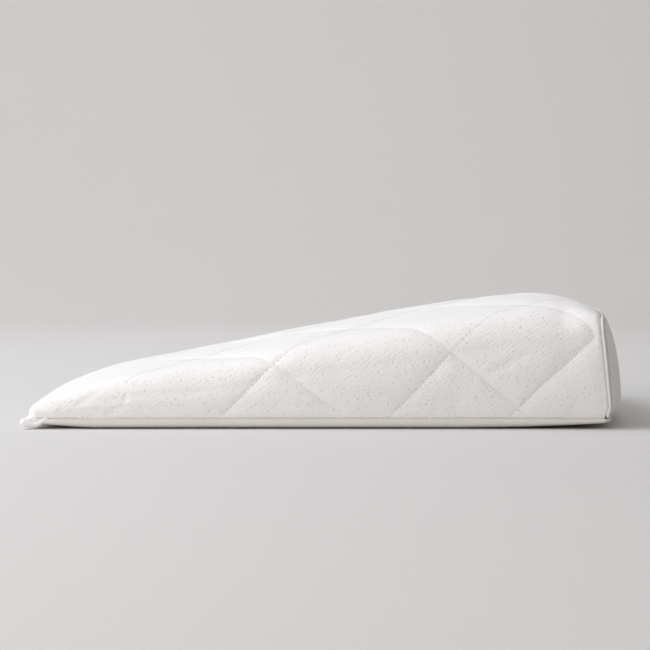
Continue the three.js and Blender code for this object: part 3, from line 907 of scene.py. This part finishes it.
def build_end_panel():
    """The plain panel over the thick end: crowned outwards in front, and following the filling behind."""
    front, behind = (end_patch(-back, inset) for back, inset in WELT_RECESS[1:])
    s = np.linspace(-1, 1, END_TOP_STEPS + 1)[:, None]
    t = np.linspace(-1, 1, END_SIDE_STEPS + 1)[None, :]
    belly = 2 * BELLY_SHARE - 1
    from_belly = np.where(t > belly, (t - belly) / (1 - belly), (belly - t) / (1 + belly))
    crown = (1 - np.abs(s) ** CROWN_FALL) * (1 - from_belly**CROWN_FALL)
    to_edge = np.minimum(1 - np.abs(s), 1 - np.abs(t) + np.zeros_like(s))
    drawn = np.exp(-to_edge * END_PUCKER_FALL) * smooth(to_edge * END_PUCKER_START)
    ripples = waves(front[..., 1] / END_PUCKER, front[..., 2] / END_PUCKER, END_PUCKER_SEED)
    broad = waves(front[..., 1] / WAVE_LENGTH, front[..., 2] / WAVE_LENGTH, END_WAVE_SEED) * crown
    front[..., 0] += PANEL_CROWN * crown + END_PUCKER_HEIGHT * ripples * drawn + END_UNEVENNESS * broad
    count = front[..., 0].size
    numbers = np.arange(2 * count).reshape(2, END_TOP_STEPS + 1, END_SIDE_STEPS + 1)
    faces = grid_faces(numbers[0]) + grid_faces(numbers[1])
    every = slice(None)
    for edge in ((0, every), (-1, every), (every, 0), (every, -1)):
        faces += grid_faces([sheet[edge] for sheet in numbers])
    points = np.vstack([front.reshape(-1, 3), behind.reshape(-1, 3)])
    return new_object("end_cloth", points, faces, points[:, 1:])


def end_line(back=0, inset=0):
    side, top, lower = end_edges(back, inset)
    far = (side * MIRROR)[::-1]
    return np.vstack([side, top[1:-1], far, lower[-2:0:-1]])


def tube(line, radii, sides, closed):
    """Rings of points of a round cord along a line."""
    ahead = np.roll(line, -1, axis=0) - np.roll(line, 1, axis=0)
    if not closed:
        ahead[0], ahead[-1] = line[1] - line[0], line[-1] - line[-2]
    ahead = unit(ahead)
    outward = unit(np.cross(ahead, (1, 0, 0)))
    beside = np.cross(outward, ahead)
    angles = np.linspace(0, math.tau, sides, endpoint=False)
    spokes = outward[:, None] * np.cos(angles)[:, None] + beside[:, None] * np.sin(angles)[:, None]
    return line[:, None] + spokes * np.asarray(radii)[:, None, None]


def build_welt(sizes):
    """The narrow welt sewn round the end panel."""
    line = end_line()
    run = run_lengths(line)
    uneven = waves(run / WELT_WAVE, np.full_like(run, NOISE_ROW), WELT_SEED)
    radius = sizes.welt_radius / MM * (1 + WELT_UNEVENNESS * uneven)
    beside = smooth((np.abs(line[:, 1]) - WELT_FULL_FROM) / WELT_GROWTH)
    radius *= WELT_LEAST + (1 - WELT_LEAST) * beside
    rings = tube(line, radius, WELT_SIDES, closed=True)
    numbers = np.arange(rings[..., 0].size).reshape(len(line), WELT_SIDES)
    looped = np.vstack([numbers, numbers[:1]])
    looped = np.hstack([looped, looped[:, :1]])
    faces = grid_faces(looped)
    round_it = np.linspace(0, math.tau * sizes.welt_radius / MM, WELT_SIDES, endpoint=False)
    places = np.column_stack([np.repeat(run, WELT_SIDES), np.tile(round_it, len(line))])
    return new_object("welt_cloth", rings.reshape(-1, 3), faces, places)


STITCH_POINTS = 5
STITCH_SIDES = 6
STITCH_RISE = 0.5  # of the thread's thickness, at a stitch's middle
STITCH_DIP = -0.6  # and at its two ends, which go down into the cloth
STITCH_TAPER = 0.08  # how blunt those ends are
WELT_SEAM_OFFSET = 2.3  # of the two seams beside the welt, along the pillow
WELT_SEAM_INSET = 0.5


class Sewing:
    """Stitches of one thread, collected as one mesh."""

    def __init__(self, sizes):
        self.stitch = sizes.stitch / MM
        self.pitch = (sizes.stitch + sizes.stitch_gap) / MM
        self.radius = sizes.thread / MM / 2
        self.points, self.faces, self.places = [], [], []

    def sew(self, surface_at, length):
        """Adds the stitches along a run, a function from length to a point and normal, or to nothing."""
        share = np.linspace(0, 1, STITCH_POINTS)
        thickness = self.radius * np.sqrt(np.maximum(STITCH_TAPER, 1 - (2 * share - 1) ** 4))
        rise = 2 * self.radius * (STITCH_DIP + (STITCH_RISE - STITCH_DIP) * np.sin(math.pi * share))
        around = np.arange(STITCH_SIDES) * math.tau * self.radius / STITCH_SIDES
        for begin in np.arange(0, length - self.stitch, self.pitch):
            reached = begin + share * self.stitch
            found = [surface_at(place) for place in reached]
            if any(item is None for item in found):
                continue
            line = np.array([point + normal * up for (point, normal), up in zip(found, rise)])
            numbers = len(self.points) + np.arange(STITCH_POINTS * STITCH_SIDES).reshape(-1, STITCH_SIDES)
            self.points.extend(tube(line, thickness, STITCH_SIDES, closed=False).reshape(-1, 3))
            self.faces += grid_faces(np.hstack([numbers, numbers[:, :1]]))
            self.faces += [numbers[0], numbers[-1]]
            along, beside = np.repeat(reached, STITCH_SIDES), np.tile(around, STITCH_POINTS)
            self.places.extend(np.column_stack([along, beside]))

    def finished(self, name):
        return new_object(name, self.points, self.faces, np.array(self.places))


def quilting_line(rising, start, seed):
    """A function from length to point and normal along a quilting line, from the near side to the far one."""

    def at(length):
        across = np.array(length / math.sqrt(2) - SIDE_SPAN)
        along = start + rising * (across + SIDE_FLATTENING * past_edge(across, rising))
        along = along - line_wander(along, across, rising, seed)[1]
        if along < NOSE_TIGHT:
            return None
        return surfaces["cover"].at(float(along), float(across))

    return at


def build_quilting_thread(sizes):
    """Stitches along every quilting line, lying in its channel."""
    sewing = Sewing(sizes)
    for rising, lines, seed in LINE_FAMILIES:
        for start in lines:
            sewing.sew(quilting_line(rising, start, seed), (TOP_SPAN + 2 * SIDE_SPAN) * math.sqrt(2))
    return sewing.finished("quilting_thread")


def sew_round(sewing, line, towards):
    """Sews once round a closed line of close points; the cloth's outside looks towards other points."""
    line = np.vstack([line, line[:1]])
    normals = unit(np.vstack([towards, towards[:1]]) - line)
    lengths = run_lengths(line)

    def at(length):
        point, normal = (
            np.array([np.interp(length, lengths, row) for row in rows.T]) for rows in (line, normals)
        )
        return point, unit(normal)

    sewing.sew(at, lengths[-1])


def build_seam_thread(sizes):
    """Stitches in the base seam and in the seams on both sides of the welt."""
    sewing = Sewing(sizes)
    base_line = bottom_outline(surfaces["cover"].cloth)
    middle = np.array([HALF_LENGTH, 0, SEAM_HEIGHT])
    sew_round(sewing, base_line, base_line + (base_line - middle) * (1 / HALF_LENGTH, 1 / HALF_WIDTH, 0))
    for back in (WELT_SEAM_OFFSET, -WELT_SEAM_OFFSET):
        sew_round(sewing, end_line(back, WELT_SEAM_INSET), end_line(back, 0))
    return sewing.finished("seam_thread")


def add_node(tree, kind, inputs=None, **settings):
    """Adds a node of a kind with its settings, and sets or links its inputs, by name or by number."""
    made = tree.nodes.new("ShaderNode" + kind)
    for name, value in settings.items():
        setattr(made, name, value)
    for name, value in (inputs or {}).items():
        if isinstance(value, bpy.types.NodeSocket):
            tree.links.new(value, made.inputs[name])
        else:
            made.inputs[name].default_value = value
    return made


def number(tree, operation, *values):
    """The result of an operation on one to three numbers."""
    return add_node(tree, "Math", dict(enumerate(values)), operation=operation).outputs[0]


def ranged(tree, value, before, after, **settings):
    """A number brought from one range to another, each given by its two ends."""
    inputs = {0: value, 1: before[0], 2: before[1], 3: after[0], 4: after[1]}
    return add_node(tree, "MapRange", inputs, **settings).outputs[0]


def scaled(tree, place, scale, turn=0.0):
    """A place scaled along the two ways of the cloth and turned in its plane."""
    inputs = {"Vector": place, "Scale": (*scale, 1), "Rotation": (0, 0, turn)}
    return add_node(tree, "Mapping", inputs).outputs[0]


def cloth_place(tree, turn=0.0):
    """The place in a piece's own cloth, in millimetres."""
    cloth = add_node(tree, "UVMap", uv_map=CLOTH_MAP).outputs["UV"]
    return scaled(tree, cloth, (1 / MM, 1 / MM), turn)


def parts_of(tree, place):
    return add_node(tree, "SeparateXYZ", {0: place}).outputs


def cloudy(tree, place, scale=1.0, detail=1.0):
    return add_node(tree, "TexNoise", {"Vector": place, "Scale": scale, "Detail": detail}).outputs[0]


def wave(tree, length, pitch):
    """A wave between -1 and 1 along a length in millimetres."""
    return number(tree, "SINE", number(tree, "MULTIPLY", length, math.tau / pitch))


def mixed(tree, share, low, high, **settings):
    return add_node(tree, "MixRGB", {0: share, 1: low, 2: high}, **settings).outputs[0]


def new_material(name, roughness, sheen=0.0):
    """A cloth or paint material with its shader's even values set, as its node tree and shader."""
    material = bpy.data.materials.new(name)
    material.use_nodes = True
    tree = material.node_tree
    shader = tree.nodes["Principled BSDF"]
    shader.inputs["Roughness"].default_value = roughness
    shader.inputs["IOR"].default_value = FIBRE_IOR
    shader.inputs["Sheen Weight"].default_value = sheen
    shader.inputs["Sheen Roughness"].default_value = SHEEN_ROUGHNESS
    return material, tree, shader


def face_of(tree, shader, colour, height, distance=MM):
    """Gives a shader its colour and, as bump, its height in the given unit."""
    bump = add_node(tree, "Bump", {"Height": height, "Distance": distance, "Strength": 1.0})
    tree.links.new(colour, shader.inputs["Base Color"])
    tree.links.new(bump.outputs[0], shader.inputs["Normal"])


# The quilted knit, in millimetres. Pairs are the two ends of a range.
FIBRE_IOR = 1.5  # polyester and viscose
SHEEN_ROUGHNESS = 0.5
RIB_ANGLE = math.radians(27)  # of the jacquard's ribs to the pillow's length
RIB_PITCH = 4.6
RIB_HEIGHT = 0.07
RIB_DRIFT = 4.5  # farthest that the ribs wander off their straight line
RIB_DRIFT_LENGTH = 26
RIB_LENGTH = 13
RIB_BREAKS = (0.38, 0.62)  # of the unevenness in which a rib fades out
RIB_LEFT = (0.1, 1.0)  # and what is left of its height
STREAK_LENGTH = 6  # soft streaks along the ribs
STREAK_WIDTH = 2.2
STREAK_HEIGHT = 0.42
PIT_PITCH = 5.5
PIT_DEPTH = 0.55
PIT_SCATTER = 0.75
PIT_RIM = (0.04, 0.28)  # of a pit, as shares of the distance between two
PITS_CHOSEN = (0.4, 1.0)
WALE_PITCH = 2.4  # real wales are about 1 mm apart, too fine to show, so they are drawn at twice that
WALE_HEIGHT = 0.02
WALE_PATCH = 9  # the wales show in patches
WALES_SHOWN = (0.4, 0.65)
CREASE_REACH = 2.4  # of the fold that the stitches press into the knit, on each side of a quilting line
CREASE_DEPTH = 0.36
KNIT_SHADE_HEIGHTS = (0.0, 0.5)  # heights between which the colour goes from painted shade to the face's own colour
ALL = (0.0, 1.0)
NONE = (1.0, 0.0)


def knitted_ribs(tree, slanted):
    """Height of the ribs, as a share of their full height: they wander and break off."""
    drift = cloudy(tree, slanted, 1 / RIB_DRIFT_LENGTH)
    across = number(tree, "MULTIPLY_ADD", drift, RIB_DRIFT, parts_of(tree, slanted)["Y"])
    whole = ranged(tree, wave(tree, across, RIB_PITCH), (-1.0, 1.0), ALL)
    breaks = cloudy(tree, scaled(tree, slanted, (1 / RIB_LENGTH, 1 / RIB_PITCH)), detail=2.0)
    return number(tree, "MULTIPLY", whole, ranged(tree, breaks, RIB_BREAKS, RIB_LEFT))


def knitted_pits(tree, slanted):
    """Depth of the pits between the ribs, as a share of the deepest one's."""
    celled = scaled(tree, slanted, (1 / PIT_PITCH, 1 / RIB_PITCH))
    inputs = {"Vector": celled, "Scale": 1.0, "Randomness": PIT_SCATTER}
    cells = add_node(tree, "TexVoronoi", inputs, voronoi_dimensions="2D").outputs
    pits = ranged(tree, cells["Distance"], PIT_RIM, NONE, interpolation_type="SMOOTHSTEP")
    chosen = add_node(tree, "SeparateColor", {0: cells["Color"]}).outputs[0]
    return number(tree, "MULTIPLY", pits, ranged(tree, chosen, PITS_CHOSEN, ALL))


def knitted_wales(tree, plain):
    """Height of the wales, in patches."""
    patches = cloudy(tree, plain, 1 / WALE_PATCH)
    shown = ranged(tree, patches, WALES_SHOWN, (0.0, WALE_HEIGHT))
    return number(tree, "MULTIPLY", wave(tree, parts_of(tree, plain)["X"], WALE_PITCH), shown)


def pressed_creases(tree, plain):
    """Depth of the creases along the quilting lines, as a share of the deepest. They fade with the channels."""
    along, across = (parts_of(tree, plain)[axis] for axis in "XY")
    from_middle = number(tree, "ADD", across, -TOP_SPAN / 2)
    edge = TOP_SPAN / 2 - RISING_FADES[0]
    fade = (edge, edge - EDGE_FADE)
    rising = ranged(tree, number(tree, "ABSOLUTE", from_middle), fade, (1.0, TOP_SHARE))
    distances = parts_of(tree, add_node(tree, "UVMap", uv_map=LINE_MAP).outputs["UV"])
    pressed = []
    for axis, most in (("X", rising), ("Y", 1.0)):
        away = number(tree, "ABSOLUTE", distances[axis])
        pressed.append(ranged(tree, away, (0.0, CREASE_REACH * MM), (most, 0.0)))
    by_nose = ranged(tree, along, (NOSE_TIGHT, NOSE_LOOSE), ALL)
    return number(tree, "MULTIPLY", number(tree, "MAXIMUM", *pressed), by_nose)


def quilted_knit(colours):
    """Polyester and viscose jersey, jacquard knitted and quilted: short slanting ribs with pits between them.

    It gives the eye a matt white face with a fine slanting grain, small pits and a faint fibre sheen, darker in
    colour where it lies low: painted shade.
    """
    material, tree, shader = new_material("jersey_jacquard_knitted_quilted", roughness=0.88, sheen=0.15)
    plain = cloth_place(tree)
    slanted = cloth_place(tree, -RIB_ANGLE)
    streaks = cloudy(tree, scaled(tree, slanted, (1 / STREAK_LENGTH, 1 / STREAK_WIDTH)))
    height = number(tree, "MULTIPLY_ADD", streaks, STREAK_HEIGHT, knitted_wales(tree, plain))
    height = number(tree, "MULTIPLY_ADD", knitted_ribs(tree, slanted), RIB_HEIGHT, height)
    height = number(tree, "MULTIPLY_ADD", knitted_pits(tree, slanted), -PIT_DEPTH, height)
    # painted shade: the colour darkens where the knit lies low, between the ribs, in the pits and along the
    # streaks
    colour = mixed(tree, ranged(tree, height, KNIT_SHADE_HEIGHTS, ALL), list(colours.knit_hollow_shade), list(colours.knit))
    drawn = number(tree, "MULTIPLY_ADD", pressed_creases(tree, plain), -CREASE_DEPTH, height)
    face_of(tree, shader, colour, drawn)
    return material


PLAIN_WALE = 2.6  # drawn at about twice the real spacing, so that it shows
PLAIN_COURSE = 3.4
PLAIN_HEIGHT = 0.08
PLAIN_PATCH = 12
PLAIN_UNEVENNESS = (0.3, 0.5)
# heights between which the plain knit's colour goes from painted shade to the face's own colour
PLAIN_SHADE_HEIGHTS = (0.1, 0.5)


def plain_knit(name, face, hollow_shade):
    """Polyester tricot, warp knitted and left plain: a smooth matt face with faint wales and courses."""
    material, tree, shader = new_material(name, roughness=0.8, sheen=0.1)
    placed = cloth_place(tree)
    parts = parts_of(tree, placed)
    loops = number(tree, "MULTIPLY", wave(tree, parts["X"], PLAIN_WALE), wave(tree, parts["Y"], PLAIN_COURSE))
    uneven = ranged(tree, cloudy(tree, placed, 1 / PLAIN_PATCH), ALL, PLAIN_UNEVENNESS)
    raised = number(tree, "MULTIPLY_ADD", loops, PLAIN_HEIGHT, uneven)
    # painted shade: the colour darkens where the knit lies low, between its wales and courses and in its lower
    # patches
    colour = mixed(tree, ranged(tree, raised, PLAIN_SHADE_HEIGHTS, ALL), list(hollow_shade), list(face))
    face_of(tree, shader, colour, raised)
    return material


PLY_PITCH = 0.9
PLY_ANGLE = math.radians(40)
PLY_HEIGHT = 0.05
PLY_SHADE = (0.8, 1.0)


def sewing_thread(colours):
    """Polyester sewing thread, spun and plied: a white cord with a soft shine and slanting plies."""
    material, tree, shader = new_material("polyester_thread_plied", roughness=0.5, sheen=0.1)
    plies = wave(tree, parts_of(tree, cloth_place(tree, PLY_ANGLE))["X"], PLY_PITCH)
    # painted shade: the thread's colour goes towards the plain knits' shade colour in the grooves between its
    # plies
    shade = ranged(tree, plies, (-1.0, 1.0), PLY_SHADE)
    colour = mixed(tree, shade, list(colours.plain_hollow_shade), list(colours.thread))
    face_of(tree, shader, colour, plies, PLY_HEIGHT * MM)
    return material


PAINT_GRAIN = 3.0  # to the metre
PAINT_SHADE = (0.985, 1.0)


def painted_sweep(colours):
    """Emulsion paint, rolled on a studio sweep: an even matt pale grey."""
    material, tree, shader = new_material("emulsion_paint_rolled", roughness=0.95)
    placed = add_node(tree, "TexCoord").outputs["Object"]
    shade = ranged(tree, cloudy(tree, placed, PAINT_GRAIN, 2.0), ALL, PAINT_SHADE)
    colour = mixed(tree, 1.0, list(colours.floor), shade, blend_type="MULTIPLY")
    tree.links.new(colour, shader.inputs["Base Color"])
    return material


# Studio, in metres
INNER_RADIUS = 1.0
FLOOR_RADIUS = 2.6
SWEEP_RADIUS = 2.4
WALL_TOP = 5.0
SWEEP_TURNS = 96
CURVE_STEPS = 24
CAMERA_ALONG = 304.6  # millimetres from the thin end's seam
CAMERA_BACK = 2.018
CAMERA_HEIGHT = 0.1805
CAMERA_DIP = math.radians(2.293)
CAMERA_LENS = 98.2
SENSOR = 36


def build_sweep(colours):
    """A round floor that curves up into a wall, so that every view has the same plain ground."""
    arc = np.linspace(0, math.pi / 2, CURVE_STEPS + 1)
    curve = [
        (FLOOR_RADIUS + SWEEP_RADIUS * math.sin(a), SWEEP_RADIUS * (1 - math.cos(a))) for a in arc[1:]
    ]
    profile = [(INNER_RADIUS, 0.0), (FLOOR_RADIUS, 0.0), *curve, (FLOOR_RADIUS + SWEEP_RADIUS, WALL_TOP)]
    turns = np.linspace(0, math.tau, SWEEP_TURNS, endpoint=False)
    work = bmesh.new()
    middle = work.verts.new((0, 0, 0))
    rings = [
        [work.verts.new((radius * math.cos(a), radius * math.sin(a), height)) for a in turns]
        for radius, height in profile
    ]
    for k in range(SWEEP_TURNS):
        n = (k + 1) % SWEEP_TURNS
        work.faces.new((middle, rings[0][k], rings[0][n]))
        for low, high in zip(rings, rings[1:]):
            work.faces.new((low[k], high[k], high[n], low[n]))
    for face in work.faces:
        face.smooth = True
    mesh = bpy.data.meshes.new("studio_sweep")
    work.to_mesh(mesh)
    work.free()
    mesh.materials.append(painted_sweep(colours))
    sweep = bpy.data.objects.new("studio_sweep", mesh)
    bpy.context.scene.collection.objects.link(sweep)


# Lamps: name, place, place aimed at, size in metres, power in watts and colour.
LAMPS = [
    ("key", (-1.75, -0.2, 2.6), (0, 0, 0.06), 1.3, 42, "F5F9FF"),
    ("front", (-1.95, -1.7, 1.05), (0, 0, 0.06), 1.4, 33, "FFFCFA"),
    ("top", (0.4, 0.9, 2.7), (0.1, 0, 0.1), 1.2, 5, "F5F9FF"),
    ("wall", (-0.8, 1.7, 3.4), (-0.4, 5, 1.3), 2.4, 52, "FDFDFF"),
]
SKY_COLOUR = "FFFAF5"
SKY_SHARE = 0.385


def add_lights():
    for name, place, aim, size, power, colour in LAMPS:
        lamp = bpy.data.lights.new(name, "AREA")
        lamp.color = linear(colour)[:3]
        lamp.shape = "SQUARE"
        lamp.size = size
        lamp.energy = power
        obj = bpy.data.objects.new(name, lamp)
        obj.location = place
        obj.rotation_euler = (Vector(aim) - Vector(place)).to_track_quat("-Z", "Y").to_euler()
        bpy.context.scene.collection.objects.link(obj)
    world = bpy.data.worlds.new("studio_air")
    world.use_nodes = True
    background = world.node_tree.nodes["Background"]
    background.inputs["Color"].default_value = linear(SKY_COLOUR)
    background.inputs["Strength"].default_value = SKY_SHARE
    bpy.context.scene.world = world


def add_camera():
    lens = bpy.data.cameras.new("camera")
    lens.sensor_width = SENSOR
    lens.lens = CAMERA_LENS
    camera = bpy.data.objects.new("camera", lens)
    camera.location = (CAMERA_ALONG * MM + ORIGIN[0] * MM, -CAMERA_BACK, CAMERA_HEIGHT)
    camera.rotation_euler = (math.pi / 2 - CAMERA_DIP, 0, 0)
    bpy.context.scene.collection.objects.link(camera)
    bpy.context.scene.camera = camera


def dress(obj, material, slot, *nodes):
    """Gives a piece its material, its place in the frame and the solids that it stands for."""
    obj.data.materials.append(material)
    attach(obj, "root")
    if nodes:
        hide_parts(*nodes)


class PILLOW_OT_cover(Operator):
    """Builds the quilted cover over its filling"""

    bl_idname = "pillow.cover"
    bl_label = "Quilted cover"

    def execute(self, context):
        cover = build_cover(context.scene.pillow_sizes)
        dress(cover, quilted_knit(context.scene.pillow_colours), "quilted_knit", "quilted_cover")
        return {"FINISHED"}


class PILLOW_OT_panels(Operator):
    """Builds the plain panels under the pillow and over its thick end"""

    bl_idname = "pillow.panels"
    bl_label = "Plain panels"

    def execute(self, context):
        colours = context.scene.pillow_colours
        pieces = (
            # painted shade: the base panel's darker colour stands for the shade on its strip by the floor
            (build_base(), "tricot_warp_knitted_painted_shade", colours.base, "base_panel"),
            (build_end_panel(), "tricot_warp_knitted", colours.plain, "end_panel"),
        )
        for piece, cloth, colour, node in pieces:
            dress(piece, plain_knit(cloth, colour, colours.plain_hollow_shade), "plain_knit", node)
        return {"FINISHED"}


class PILLOW_OT_welt(Operator):
    """Builds the welt round the end panel"""

    bl_idname = "pillow.welt"
    bl_label = "Welt"

    def execute(self, context):
        colours = context.scene.pillow_colours
        welt = build_welt(context.scene.pillow_sizes)
        cloth = plain_knit("tricot_tape_folded", colours.welt, colours.plain_hollow_shade)
        dress(welt, cloth, "welt_knit", "end_welt")
        return {"FINISHED"}


class PILLOW_OT_sewing(Operator):
    """Builds the stitches of the quilting and the seams"""

    bl_idname = "pillow.sewing"
    bl_label = "Sewing"

    def execute(self, context):
        if "cover" not in surfaces:
            raise RuntimeError("the quilted cover is made before its sewing")
        thread = sewing_thread(context.scene.pillow_colours)
        for build in (build_quilting_thread, build_seam_thread):
            dress(build(context.scene.pillow_sizes), thread, "quilted_knit")
        return {"FINISHED"}


class PILLOW_OT_studio(Operator):
    """Builds the floor, lights and camera"""

    bl_idname = "pillow.studio"
    bl_label = "Studio"

    def execute(self, context):
        build_sweep(context.scene.pillow_colours)
        add_lights()
        add_camera()
        context.scene.view_settings.view_transform = "Standard"
        return {"FINISHED"}


OPERATORS = (PILLOW_OT_cover, PILLOW_OT_panels, PILLOW_OT_welt, PILLOW_OT_sewing, PILLOW_OT_studio)


class PILLOW_PT_build(Panel):
    """Lists the pillow's pieces, sizes and colours"""

    bl_idname = "PILLOW_PT_build"
    bl_label = "Wedge pillow"
    bl_space_type = "VIEW_3D"
    bl_region_type = "UI"
    bl_category = "Pillow"

    def draw(self, context):
        for values in (context.scene.pillow_sizes, context.scene.pillow_colours):
            box = self.layout.box()
            for name in values.__annotations__:
                box.prop(values, name)
        for operator in OPERATORS:
            self.layout.operator(operator.bl_idname)


CLASSES = (PillowSizes, PillowColours, *OPERATORS, PILLOW_PT_build)


def register():
    for item in CLASSES:
        bpy.utils.register_class(item)
    bpy.types.Scene.pillow_sizes = PointerProperty(type=PillowSizes)
    bpy.types.Scene.pillow_colours = PointerProperty(type=PillowColours)


def unregister():
    del bpy.types.Scene.pillow_colours
    del bpy.types.Scene.pillow_sizes
    for item in reversed(CLASSES):
        bpy.utils.unregister_class(item)


def main():
    register()
    bpy.ops.pillow.cover()
    bpy.ops.pillow.panels()
    bpy.ops.pillow.welt()
    bpy.ops.pillow.sewing()
    bpy.ops.pillow.studio()


if __name__ == "__main__":
    main()
